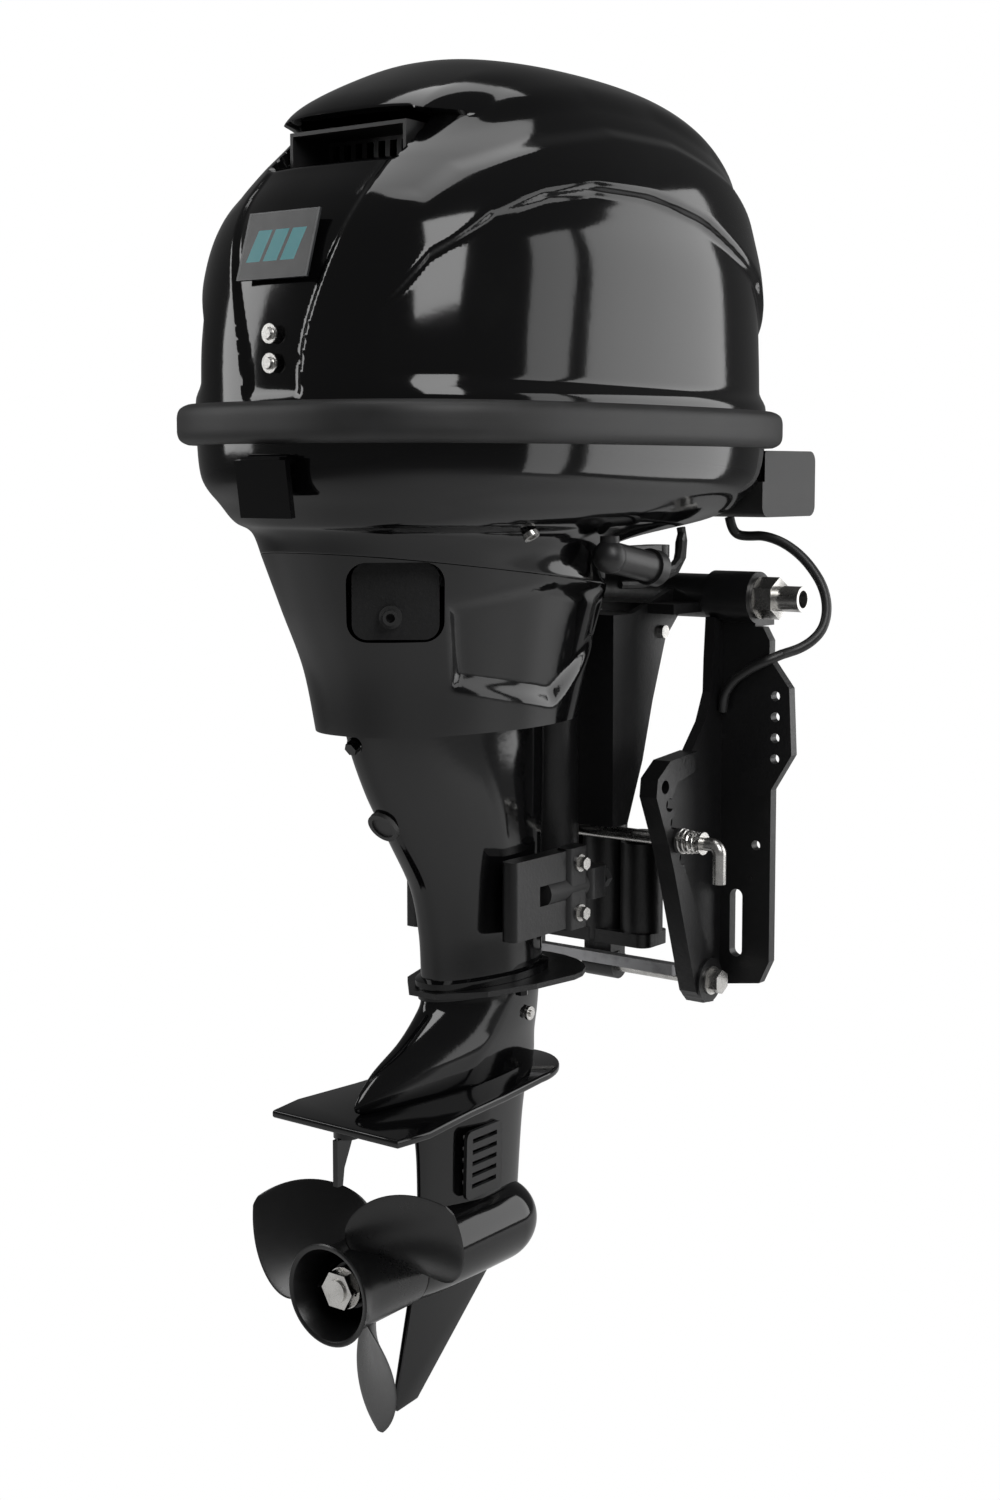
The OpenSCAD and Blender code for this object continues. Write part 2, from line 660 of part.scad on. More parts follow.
// Upper cowling
cowl_sections = [[0, 0, 0, 0], [0.21, 1, 1, 1], [0.42, -9, 0, 0], [0.55, -27, -6, -6],
    [0.66, -57, -16, -14], [0.76, -90, -33, -27], [0.86, -115, -60, -47], [0.93, -142, -96, -72],
    [0.975, -172, -146, -102], [1, -212, -205, -140]];
function cowl_rings(inset) = [for (s = cowl_sections)
    egg(rail_z + 6 + s[0] * (cowl_top - rail_z - 6 - inset), cowl_aft - s[1] + inset,
        cowl_fwd + s[2] - inset, cowl_half + s[3] - inset, 0.04, 3 - 0.6 * s[0])];
module upper_cowl() {
    color(paint) difference() {
        skin(concat(reverse(cowl_rings(cover_t)), cowl_rings(0)));
        translate([-intake_w / 2, intake_aft - 20, intake_z]) cube([intake_w, 70, intake_h]);
    }
}

module intake_duct() {
    size = [intake_w - 2 * gap, 46, intake_h - 2 * gap];
    color(paint) translate([-size[0] / 2, intake_aft, intake_z + gap]) difference() {
        cube(size);
        translate([3, -1, 3]) cube([size[0] - 6, size[1] - 3, size[2] - 6]);
        for (i = [0:8]) translate([8 + i * 12, 0, 6]) cube([7, 60, size[2] - 12]);
    }
}

module badge_plate() {
    color(alloy) translate([-36, cowl_aft + 2.9, 372]) rotate([-17, 0, 0])
        translate([0, -3, 0]) cube([72, 2, 54]);
}

module cowl_screws() {
    color(steel) for (z = [310, 332]) translate([0, cowl_aft - 1 - gap, z]) rotate([90, 0, 0]) {
        cylinder(d = 15, h = 1.4);
        translate([0, 0, 1.4]) cylinder(d1 = 10, d2 = 8, h = 3);
    }
}

// Powerhead
block_top = 428;
block_bottom = mid_top + 16;
module cylinder_block() {
    color(alloy) difference() {
        union() {
            translate([-70, -332, block_bottom + 14]) pad([140, 160, block_top - block_bottom - 14],
                18);
            skin([for (z = [mid_top + gap, block_bottom + 15]) egg(z, -394, -162, 82, 0.1, 2.8, 0,
                32)]);
        }
        translate([0, drive_y, mid_top - 10]) cylinder(r = 13, h = 400);
    }
}

module cylinder_head() {
    color(alloy) {
        translate([-62, -372, block_bottom + 22]) pad([124, 40 - gap, 230], 12);
        translate([-50, -398, block_bottom + 30]) pad([100, 30, 212], 12);
    }
}

module intake_manifold() {
    color(casting) {
        translate([96, -350, 230]) pad([30, 150, 150], 10);
        for (z = [250, 300, 350]) translate([70 + gap, -300, z]) along_x() cylinder(r = 14, h = 30);
    }
}

module starter_motor() {
    color(casting) {
        translate([112, -130, 250]) cylinder(r = 27, h = 130);
        translate([112, -130, 380]) cylinder(r = 13, h = 40);
        translate([70 + gap, -198, 300]) cube([30, 52, 40]);
    }
}

module oil_filter() {
    color(casting) translate([-70 - gap, -250, 260]) rotate([0, -90, 0]) {
        cylinder(r = 20, h = 8);
        translate([0, 0, 8]) cylinder(r = 32, h = 62);
    }
}

module spark_plugs() {
    color(steel) for (z = [230, 290, 350]) translate([62 + gap, -352, z]) along_x() {
        hex(14, 10);
        cylinder(r = 5, h = 24);
    }
}

module flywheel() {
    z0 = block_top + 12;
    color(alloy) translate([0, drive_y, z0]) difference() {
        union() {
            cylinder(r = 104, h = 10);
            translate([0, 0, 10]) cylinder(r = 88, h = 22);
            cylinder(r = 28, h = 38);
        }
        translate([0, 0, -1]) cylinder(d = drive_shaft_d, h = 36);
        translate([0, 0, 26]) difference() {
            cylinder(r1 = 60, r2 = 70, h = 7);
            cylinder(r = 28, h = 20, center = true);
        }
    }
}

// Drive shaft from the flywheel down to the pinion
module drive_shaft() {
    z1 = block_top + 46;
    color(steel) {
        translate([0, drive_y, pinion_z + 6]) cylinder(d = drive_shaft_d, h = z1 - pinion_z - 6);
        translate([0, drive_y, pinion_z]) bevel_gear(12, 9, pinion_teeth);
    }
}

// Bevel gear on Z, large end up, with square-cut teeth
module bevel_gear(r, h, teeth) {
    difference() {
        cylinder(r1 = r - h * 0.5, r2 = r, h = h);
        for (i = [0:teeth - 1]) rotate([0, 0, 360 * i / teeth]) translate([r - 1.4, -0.7, -1])
            rotate([0, 26, 0]) cube([4, 1.4, h + 4]);
    }
}

module water_pump_housing() {
    color(alloy) translate([0, drive_y, joint_z - 34]) difference() {
        union() {
            cylinder(r = 25, h = 30);
            cylinder(r = 28, h = 4);
        }
        translate([0, 0, -1]) cylinder(d = drive_shaft_d + 2, h = 40);
        translate([0, 0, 5]) cylinder(r = 20, h = 18);
    }
}

module water_pump_impeller() {
    color(rubber) translate([0, drive_y, joint_z - 28.5]) difference() {
        union() {
            cylinder(r = 12, h = 16);
            for (i = [0:5]) rotate([0, 0, 60 * i]) translate([10, -1.2, 0]) cube([9.2, 2.4, 16]);
        }
        translate([0, 0, -1]) cylinder(d = drive_shaft_d, h = 20);
    }
}

// Gearcase with its anti-ventilation plate, gear housing and skeg
gear_top = joint_z - splash_t - gap;
case_rings = [[prop_z + 25, -318, -182, 17, 0.5], [-340, -320, -176, 19, 0.5],
    [plate_z - 6, -332, -168, 22, 0.5], [plate_z + 6, -396, -160, 26, 0.62],
    [-266, -380, -162, 31, 0.6], [-246, -340, -162, 34, 0.5], [-226, -312, -163, 36, 0.4],
    [gear_top - 5, -306, -163, 36, 0.36], [gear_top - 4, -308, -159, 41, 0.36],
    [gear_top, -308, -159, 41, 0.36]];
module gear_cavity() {
    translate([0, torpedo_aft + 4, prop_z]) along_y() {
        translate([0, 0, -10]) cylinder(r = gear_bore_r, h = 150.5);
        cylinder(d = prop_shaft_d + 12, h = 162);
    }
    translate([0, drive_y, pinion_z - 4]) cylinder(r = 13.5, h = 20);
    translate([0, drive_y, prop_z]) cylinder(d = drive_shaft_d + 2 * running_fit, h = 300);
    translate([0, drive_y, gear_top - 33]) cylinder(r = 28.5, h = 40);
    translate([0, -292, gear_top - 60]) cylinder(r = 9, h = 70);
}
module gearcase() {
    r = torpedo_d / 2;
    color(paint) difference() {
        union() {
            skin([for (c = case_rings) egg(c[0], c[1], c[2], c[3], c[4], 2.2, 0, 28)]);
            translate([0, torpedo_aft, prop_z]) along_y() rotate_extrude() polygon(concat(
                [[0, 0], [r - 3, 0], [r, 40]],
                [for (a = [0:10:90]) [r * cos(a), 130 + 43 * sin(a)]]));
            translate([0, 0, plate_z - plate_t / 2]) linear_extrude(plate_t)
                polygon(concat([[-67, -424], [-72, -389], [-64, -326], [-60, -274]],
                    [for (a = [0:15:180]) [-52 * cos(a), -210 + 64 * sin(a)]],
                    [[60, -274], [64, -326], [72, -389], [67, -424]]));
            plate_yz(-2.5, 5) polygon([[-326, prop_z - 20], [-352, skeg_z + 6], [-348, skeg_z],
                [-322, skeg_z + 2], [-214, prop_z - 34], [-206, prop_z - 20]]);
        }
        gear_cavity();
    }
}

module splash_plate() {
    color(paint) translate([0, 0, joint_z - splash_t]) linear_extrude(splash_t - gap)
        difference() {
            polygon(concat([[-14, -312], [-44, -278], [-60, -230]],
                [for (a = [0:15:180]) [-67 * cos(a), -184 + 58 * sin(a)]],
                [[60, -230], [44, -278], [14, -312]]));
            translate([0, drive_y]) circle(r = 29);
            translate([0, -292]) circle(r = 12);
        }
}

module gearcase_bolts() {
    color(steel) both_sides() translate([32.7, -206, -241]) along_x() {
        cylinder(d = 12, h = 3);
        cylinder(d = 6, h = 5);
    }
}

module trim_tab() {
    color(alloy) {
        plate_yz(-2.5, 5) polygon([[-422.5, plate_z - 10], [-402, plate_z - 8],
            [-414, plate_z - 34], [-416, plate_z - 48], [-422.5, plate_z - 48]]);
        translate([0, -408, plate_z - 10]) cylinder(r = 11, h = 10 - plate_t / 2 - gap);
    }
}

module water_intake_grilles() {
    color(rubber) both_sides() translate([18.2, -280, -392]) rotate([0, 1.6, 0]) difference() {
        rotate([90, 0, 90]) linear_extrude(3.5) rounded([50, 60], 6);
        for (i = [0:4]) translate([-1, 8, 9 + 10 * i]) cube([6, 34, 4]);
    }
}

// Bevel gears on the propeller axis and the dog clutch between them
module ring_gear() {
    difference() {
        union() {
            bevel_gear(gear_r, 8, gear_teeth);
            translate([0, 0, 7.9]) cylinder(r = 19, h = 3.9);
        }
        translate([0, 0, -1]) cylinder(d = prop_shaft_d + 2 * running_fit, h = 30);
    }
}
gear_off = 13;
module forward_gear() color(steel) translate([0, drive_y + gear_off, prop_z]) along_y() ring_gear();
module reverse_gear() color(steel) translate([0, drive_y - gear_off, prop_z]) rotate([90, 0, 0])
    ring_gear();

module clutch_dog() {
    color(steel) translate([0, drive_y - 6, prop_z]) along_y() difference() {
        cylinder(r = 14, h = 12);
        translate([0, 0, -1]) cylinder(d = prop_shaft_d + 2 * running_fit, h = 14);
    }
}

module bearing_carrier() {
    color(alloy) translate([0, torpedo_aft + 1, prop_z]) along_y() difference() {
        union() {
            cylinder(r = gear_bore_r - gap, h = 10);
            cylinder(r = gear_bore_r - 8, h = 60);
        }
        translate([0, 0, -1]) cylinder(d = prop_shaft_d + 2 * running_fit, h = 70);
        for (a = [0:60:300]) rotate([0, 0, a]) translate([gear_bore_r - 4.5, 0, -1])
            cylinder(r = 2.5, h = 20);
    }
}

// Propeller: section of a blade at a radius, wrapped round the hub
function blade_chord(t) = 62 + 46 * sin(180 * pow(t, 0.75)) - 58 * pow(t, 5);
function blade_ring(t) =
    let (r = hub_d / 2 - 4 + t * (prop_d / 2 - hub_d / 2 + 4),
        chord = blade_chord(max(t, 0)),
        thick = 5 - 3.2 * t,
        angle = atan(prop_pitch / (2 * PI * r)),
        rake = 10 * t)
    [for (k = [0:blade_seg - 1])
        let (a = -360 * k / blade_seg,
            u = chord / 2 * cos(a),
            w = thick / 2 * sin(a),
            turn = (u * cos(angle) - w * sin(angle)) / r * 180 / PI,
            y = u * sin(angle) + w * cos(angle) - rake)
        [r * sin(turn), y, r * cos(turn)]];
module propeller() {
    len = hub_fwd - hub_aft;
    color(paint) {
        translate([0, hub_aft, prop_z]) along_y() difference() {
            rotate_extrude() polygon([[hub_rim_d / 2 - 2.5, 0], [hub_rim_d / 2, 0],
                [hub_rim_d / 2 - 4, 8], [hub_d / 2 + 0.5, 26], [hub_d / 2, len],
                [hub_d / 2 - 4, len], [hub_d / 2 - 4, 26], [hub_rim_d / 2 - 7.5, 8]]);
        }
        translate([0, hub_fwd - 58, prop_z]) along_y() difference() {
            union() {
                cylinder(r = 19, h = 56);
                for (a = [30:120:270]) rotate([0, 0, a]) translate([17, -2.5, 0])
                    cube([hub_d / 2 - 20, 5, 50]);
            }
            translate([0, 0, -1]) cylinder(d = prop_shaft_d, h = 60);
        }
        for (i = [0:blades - 1]) translate([0, blade_y, prop_z]) difference() {
            rotate([0, prop_turn + i * 360 / blades, 0])
                skin([for (k = [-1:blade_sections]) blade_ring(k / blade_sections * 0.985)]);
            translate([0, -hub_d, 0]) along_y() cylinder(r = hub_d / 2 - 2, h = 2 * hub_d);
        }
    }
}

module propeller_shaft() {
    color(steel) translate([0, 0, prop_z]) {
        translate([0, -424, 0]) along_y() cylinder(d = prop_shaft_d, h = 424 - 188);
        translate([0, hub_fwd - 58 - 8.3, 0]) along_y() difference() {
            union() {
                cylinder(r = 17, h = 3);
                translate([0, 0, 3]) cylinder(r = 13, h = 5);
            }
            translate([0, 0, -1]) cylinder(d = prop_shaft_d, h = 20);
        }
        translate([0, -422, 0]) along_y() hex(28, 9);
        translate([-17, -418, 0]) along_x() cylinder(d = 3, h = 34);
    }
}

// Fuel and flushing elbow under the lower cowling, with its hoses
elbow_at = [134, -232, 160];
module fuel_elbow() {
    color(rubber) translate(elbow_at) {
        sphere(r = 14);
        rotate([-100, 0, 0]) cylinder(r = 13, h = 62);
        rotate([-100, 0, 0]) translate([0, 0, 58]) cylinder(r = 15.5, h = 12);
        cylinder(r = 8, h = 16.8);
    }
}
module engine_hoses() {
    color(rubber) {
        cable(hose_route, hose_d);
        cable(return_route, hose_d);
    }
}
module tilt_cable() color(rubber) cable(tilt_cable_route, tilt_cable_d);

clamp_bracket_starboard();
clamp_bracket_port();
tilt_tube();
tilt_tube_nuts();
lower_tie_bolt();
bracket_anode();
tilt_cylinder();
tilt_pump_motor();
tilt_rod();
tilt_pin();
tilt_pin_spring();
swivel_bracket();
tilt_bushes();
steering_bushes();
tilt_rod_pin();
steering_shaft();
upper_mounts();
lower_mounts();
lower_mount_covers();
mount_cover_bolts();
midsection();
midsection_bolts();
access_plug();
exhaust_tube();
apron();
window_plate();
flush_nozzle();
lower_cowl();
lower_cowl_screws();
rub_rail();
cable_box();
cowl_latch();
upper_cowl();
intake_duct();
badge_plate();
cowl_screws();
cylinder_block();
cylinder_head();
intake_manifold();
starter_motor();
oil_filter();
spark_plugs();
flywheel();
drive_shaft();
water_pump_housing();
water_pump_impeller();
gearcase();
splash_plate();
gearcase_bolts();
trim_tab();
water_intake_grilles();
forward_gear();
reverse_gear();
clutch_dog();
bearing_carrier();
propeller();
propeller_shaft();
fuel_elbow();
engine_hoses();
tilt_cable();
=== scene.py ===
# Outboard motor: builds the scene on the imported frame
import json
import math
import bpy
import bmesh
from mathutils import Matrix, Vector

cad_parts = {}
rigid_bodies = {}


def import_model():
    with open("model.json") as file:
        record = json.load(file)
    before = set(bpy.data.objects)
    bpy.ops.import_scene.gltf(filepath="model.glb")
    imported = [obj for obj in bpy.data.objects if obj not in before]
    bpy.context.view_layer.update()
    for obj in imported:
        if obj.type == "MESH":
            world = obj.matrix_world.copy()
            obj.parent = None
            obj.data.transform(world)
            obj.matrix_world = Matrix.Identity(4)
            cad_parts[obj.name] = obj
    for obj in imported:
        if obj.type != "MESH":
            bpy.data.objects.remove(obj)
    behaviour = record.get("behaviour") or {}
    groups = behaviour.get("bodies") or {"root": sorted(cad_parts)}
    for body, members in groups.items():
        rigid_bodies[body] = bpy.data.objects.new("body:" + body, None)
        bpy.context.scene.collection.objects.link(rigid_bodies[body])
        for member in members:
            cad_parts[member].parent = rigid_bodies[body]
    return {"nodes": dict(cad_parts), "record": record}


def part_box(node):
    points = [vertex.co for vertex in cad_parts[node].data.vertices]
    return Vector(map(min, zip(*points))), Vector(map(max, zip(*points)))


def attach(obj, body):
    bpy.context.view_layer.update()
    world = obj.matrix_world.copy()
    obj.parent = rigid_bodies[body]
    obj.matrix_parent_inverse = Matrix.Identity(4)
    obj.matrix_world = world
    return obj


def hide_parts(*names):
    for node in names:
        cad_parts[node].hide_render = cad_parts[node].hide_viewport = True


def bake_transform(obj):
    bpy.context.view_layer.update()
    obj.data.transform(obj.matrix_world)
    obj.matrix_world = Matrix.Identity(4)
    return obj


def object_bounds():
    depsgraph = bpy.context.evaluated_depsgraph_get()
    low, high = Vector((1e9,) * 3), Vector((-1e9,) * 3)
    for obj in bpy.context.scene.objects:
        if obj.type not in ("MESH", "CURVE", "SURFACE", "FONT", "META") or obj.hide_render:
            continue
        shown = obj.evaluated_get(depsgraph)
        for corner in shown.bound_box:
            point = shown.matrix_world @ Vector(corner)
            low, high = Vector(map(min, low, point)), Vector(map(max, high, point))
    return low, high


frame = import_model()
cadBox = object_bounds()
scene = bpy.context.scene
scene.view_settings.view_transform = "Standard"
print("frame loaded")

camera = dict(place=(1.0944, -1.6452, 0.2279), turn=(84.6, 0, 37.2), lens=50.17, shiftY=-0.0529)


def addCamera(c):
    data = bpy.data.cameras.new("camera")
    data.sensor_fit, data.sensor_height, data.sensor_width = "VERTICAL", 36, 36
    data.lens, data.shift_y = c["lens"], c["shiftY"]
    data.clip_start, data.clip_end = 0.05, 50
    obj = bpy.data.objects.new("camera", data)
    obj.location = c["place"]
    obj.rotation_euler = [math.radians(a) for a in c["turn"]]
    scene.collection.objects.link(obj)
    scene.camera = obj


addCamera(camera)
print("camera ready")


# Shader maths: a wrapped socket takes +, -, *, / and comparisons
class Field:
    def __init__(self, recipe, socket):
        self.recipe, self.socket = recipe, socket

    def op(self, kind, a, b=None, c=None):
        return self.recipe.node("ShaderNodeMath", dict(operation=kind),
                                {i: v for i, v in enumerate((a, b, c)) if v is not None})

    def __add__(self, o): return self.op("ADD", self, o)
    def __radd__(self, o): return self.op("ADD", o, self)
    def __sub__(self, o): return self.op("SUBTRACT", self, o)
    def __rsub__(self, o): return self.op("SUBTRACT", o, self)
    def __mul__(self, o): return self.op("MULTIPLY", self, o)
    def __rmul__(self, o): return self.op("MULTIPLY", o, self)
    def __truediv__(self, o): return self.op("DIVIDE", self, o)
    def __gt__(self, o): return self.op("GREATER_THAN", self, o)
    def __lt__(self, o): return self.op("LESS_THAN", self, o)
    def step(self, low, high):
        return self.recipe.node("ShaderNodeMapRange", dict(interpolation_type="SMOOTHSTEP"),
                                {0: self, 1: low, 2: high})
    def fract(self): return self.op("FRACT", self)
    def size(self): return self.op("ABSOLUTE", self)


class Recipe:
    def __init__(self, name):
        self.material = bpy.data.materials.new(name)
        self.material.use_nodes = True
        self.tree = self.material.node_tree
        self.shader = self.tree.nodes["Principled BSDF"]
        self.place = self.node("ShaderNodeTexCoord", {}, {}, "Object")

    def put(self, socket, value):
        if isinstance(value, Field):
            self.tree.links.new(value.socket, socket)
        else:
            socket.default_value = value

    def node(self, kind, settings, inputs, out=0):
        made = self.tree.nodes.new(kind)
        for k, v in settings.items():
            setattr(made, k, v)
        for k, v in inputs.items():
            self.put(made.inputs[k], v)
        return Field(self, made.outputs[out])

    def noise(self, scale, detail=3.0, rough=0.55, stretch=None):
        where = self.place
        if stretch:
            where = self.node("ShaderNodeMapping", {}, {"Vector": self.place, "Scale": stretch})
        return self.node("ShaderNodeTexNoise", {}, {"Vector": where, "Scale": scale,
                         "Detail": detail, "Roughness": rough}, "Fac")

    def parts(self):
        s = self.tree.nodes.new("ShaderNodeSeparateXYZ")
        self.put(s.inputs[0], self.place)
        return [Field(self, o) for o in s.outputs]

    def mix(self, factor, a, b):
        return self.node("ShaderNodeMix", dict(data_type="RGBA"), {0: factor, 6: a, 7: b}, 2)

    def bump(self, height, distance, strength=1.0):
        self.put(self.shader.inputs["Normal"], self.node("ShaderNodeBump", {},
                 {"Height": height, "Distance": distance, "Strength": strength}))

    def finish(self, **sockets):
        for k, v in sockets.items():
            self.put(self.shader.inputs[k.replace("_", " ")], v)
        return self.material


def glossPaint(name, shade=0.0022, dust=0.004):
    r = Recipe(name)
    cloud, fine = r.noise(9.0, 4.0), r.noise(260.0, 2.0)
    grime = cloud.step(0.52, 0.8) * 0.5
    tone = r.mix(grime, (shade, shade, shade * 1.1, 1), (shade + dust, shade + dust, shade + dust, 1))
    r.bump(r.noise(150.0, 1.0) + fine * 0.3, 0.00002)
    return r.finish(Base_Color=tone, Roughness=0.05 + cloud * 0.05 + fine * 0.02, IOR=1.5,
                    Specular_IOR_Level=0.42)


def castPaint(name, shade=0.0045, grain=0.00025, low=0.24):
    r = Recipe(name)
    sand, cloud = r.noise(330.0, 4.0, 0.62), r.noise(14.0, 4.0)
    worn = r.noise(60.0, 5.0).step(0.68, 0.8)
    tone = r.mix(worn * 0.35, (shade, shade, shade * 1.08, 1), (0.016, 0.016, 0.017, 1))
    r.bump(sand * 0.8 + r.noise(120.0, 2.0) * 0.5, grain)
    return r.finish(Base_Color=tone, Roughness=low + cloud * 0.16 + sand * 0.1)


def rubberFinish(name, shade=0.008, low=0.46):
    r = Recipe(name)
    grain, cloud = r.noise(900.0, 2.0), r.noise(22.0, 3.0)
    pale = (shade * 1.9, shade * 1.9, shade * 2, 1)
    tone = r.mix(cloud.step(0.35, 0.75), (shade, shade, shade, 1), pale)
    r.bump(grain, 0.00005)
    return r.finish(Base_Color=tone, Roughness=low + cloud * 0.14 + grain * 0.05)


def bareMetal(name, tone, low, grain=0.00002, stretch=None):
    r = Recipe(name)
    brush, stain = r.noise(700.0, 3.0, 0.6, stretch), r.noise(45.0, 4.0)
    dark = tuple(c * 0.62 for c in tone[:3]) + (1,)
    r.bump(brush, grain)
    return r.finish(Base_Color=r.mix(stain.step(0.45, 0.78), tone, dark), Metallic=1.0,
                    Roughness=low + stain * 0.16 + brush * 0.06)


def badgeFilm(name, middle):
    r = Recipe(name)
    x, y, z = r.parts()
    across, up = x - middle[0], z - middle[1]
    slanted = across - up * 0.3
    edge = across.op("MAXIMUM", across.size() > 0.034, up.size() > 0.025)
    bars = ((slanted + 0.026) / 0.0175).fract() < 0.8
    bars = bars * (slanted.size() < 0.026) * (up.size() < 0.012)
    tone = r.mix(bars, (0.006, 0.0065, 0.007, 1), (0.003, 0.17, 0.19, 1))
    tone = r.mix(edge, tone, (0.03, 0.031, 0.033, 1))
    return r.finish(Base_Color=tone, Roughness=0.2 + r.noise(90.0) * 0.1, Specular_IOR_Level=0.25)


finish = dict(
    gloss=glossPaint("glossBlackPaint"), casting=glossPaint("glossCastingPaint", 0.0026, 0.004),
    bracket=castPaint("satinCastPaint"), blade=castPaint("propellerPaint", 0.0035, 0.00003, 0.17),
    rubber=rubberFinish("mattRubber"), hose=rubberFinish("hoseRubber", 0.006, 0.32),
    moulding=rubberFinish("grainedMoulding", 0.008, 0.4),
    steel=bareMetal("stainlessSteel", (0.62, 0.61, 0.59, 1), 0.16),
    alloy=bareMetal("castAlloy", (0.42, 0.42, 0.43, 1), 0.36, 0.0001),
    bronze=bareMetal("bronzeBush", (0.6, 0.42, 0.2, 1), 0.24))
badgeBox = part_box("badge_plate")
finish["badge"] = badgeFilm("badgeFilm", ((badgeBox[0][0] + badgeBox[1][0]) / 2,
                                          (badgeBox[0][2] + badgeBox[1][2]) / 2))
slotFinish = dict(gloss_cover="gloss", gloss_casting="casting", bracket_paint="bracket",
                  propeller_paint="blade", stainless="steel", bare_alloy="alloy",
                  bronze_bush="bronze", rubber="rubber", matte_moulding="moulding",
                  badge_film="badge")
for sub in frame["record"]["subparts"]:  # every carried-over node gets its finish
    node = frame["nodes"][sub["node"]] if isinstance(frame["nodes"], dict) else None
    node = node if isinstance(node, bpy.types.Object) else bpy.data.objects[sub["node"]]
    node.data.materials.clear()
    node.data.materials.append(finish[slotFinish[sub["material_slot"]]])
for name, key in dict(engine_hoses="hose", fuel_elbow="hose", intake_duct="moulding",
                      trim_tab="casting", window_plate="bracket", lower_mount_covers="bracket",
                      splash_plate="bracket", midsection_bolts="casting",
                      bracket_anode="alloy").items():
    bpy.data.objects[name].data.materials[0] = finish[key]


# Shells are extruded ring by ring; sizes in millimetres
def egg(z, aft, fwd, half, taper=0.0, square=2.6, slope=0.0, count=160, crowd=0.0):
    ring = []
    for i in range(count):
        a = 2 * math.pi * i / count
        a += crowd * math.sin(a)  # points crowd towards the aft end
        c = math.copysign(abs(math.cos(a)) ** (2 / square), math.cos(a))
        s = math.copysign(abs(math.sin(a)) ** (2 / square), math.sin(a))
        y = (aft + fwd) / 2 + (fwd - aft) / 2 * c
        x = half * s * (1 - taper * max(0, -c))
        ring.append(Vector((x, y, z + slope * (y - (aft + fwd) / 2))))
    return ring


# smooth rows through the key rows, evenly spaced over them
def between(keys, count):
    out = []
    for i in range(count):
        t = i / (count - 1) * (len(keys) - 1)
        k = min(int(t), len(keys) - 2)
        f = t - k
        p = [keys[max(0, min(len(keys) - 1, k + d))] for d in (-1, 0, 1, 2)]
        out.append([0.5 * ((2 * b) + (c - a) * f + (2 * a - 5 * b + 4 * c - d) * f * f
                           + (3 * b - a - 3 * c + d) * f ** 3) for a, b, c, d in zip(*p)])
    return out


def loft(rings, capLow=True, capHigh=True):
    bm = bmesh.new()
    made = bmesh.ops.create_circle(bm, segments=len(rings[0]), radius=1)
    verts = list(made["verts"])
    edges = list(bm.edges)
    for v, p in zip(verts, rings[0]):
        v.co = p * 0.001
    if capLow:
        bmesh.ops.contextual_create(bm, geom=edges)
    for ring in rings[1:]:
        grown = bmesh.ops.extrude_edge_only(bm, edges=edges)["geom"]
        edges = [g for g in grown if isinstance(g, bmesh.types.BMEdge)]
        fresh = {}
        for v in (g for g in grown if isinstance(g, bmesh.types.BMVert)):
            for e in v.link_edges:
                if e.other_vert(v) not in grown:
                    fresh[e.other_vert(v)] = v
        verts = [fresh[v] for v in verts]
        for v, p in zip(verts, ring):
            v.co = p * 0.001
    if capHigh:
        bmesh.ops.contextual_create(bm, geom=edges)
    bmesh.ops.recalc_face_normals(bm, faces=bm.faces)
    return bm


def piece(name, bm, body, material, nodes=(), smooth=35):
    mesh = bpy.data.meshes.new(name)
    bm.to_mesh(mesh)
    bm.free()
    obj = bpy.data.objects.new(name, mesh)
    scene.collection.objects.link(obj)
    for p in mesh.polygons:
        p.use_smooth = True
    mesh.set_sharp_from_angle(angle=math.radians(smooth))
    for m in material if isinstance(material, (list, tuple)) else [material]:
        mesh.materials.append(finish[m])
    if body:
        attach(obj, body)
    if nodes:
        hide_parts(*nodes)
    return obj


def smoothStep(v, low, high):
    t = max(0.0, min(1.0, (v - low) / (high - low)))
    return t * t * (3 - 2 * t)


# height of a bent line at y
def overLine(line, y):
    for (ya, za), (yb, zb) in zip(line, line[1:]):
        if ya <= y <= yb:
            return za + (zb - za) * (y - ya) / (yb - ya)
    return line[0][1] if y < line[0][0] else line[-1][1]


upperCowl = dict(
    sections=[[0, 0, 0, 0], [0.21, 1, 1, 1], [0.42, -9, 0, 0], [0.55, -27, -6, -6],
              [0.66, -57, -16, -14], [0.76, -90, -33, -27], [0.86, -115, -60, -47],
              [0.93, -142, -96, -72], [0.975, -172, -146, -102], [1, -212, -205, -140]],
    low=272, high=564, aft=-487, fwd=68, half=174, wall=3.5, rings=165,
    panelArch=[(-487, 300), (-470, 350), (-438, 392), (-390, 424), (-339, 442), (-286, 452),
               (-215, 452), (-139, 440), (-26, 400), (40, 350), (75, 300)],
    bandArch=[(-430, 430), (-399, 452), (-324, 478), (-243, 494), (-155, 494), (-59, 474),
              (29, 430), (68, 380)],
    archDepth=6.5, bandDepth=5.0, mouth=(64, 466, 503), hood=(70, 505, 24))


def upperRings(c, inset):
    keys = [[s[0], s[1], s[2], s[3]] for s in c["sections"]]
    rings = []
    for h, aft, fwd, half in between(keys, c["rings"]):
        rings.append(egg(c["low"] + h * (c["high"] - c["low"] - inset), c["aft"] - aft + inset,
                         c["fwd"] + fwd - inset, c["half"] + half - inset, 0.04, 3 - 0.6 * h, 0, 280, 0.5))
    return rings


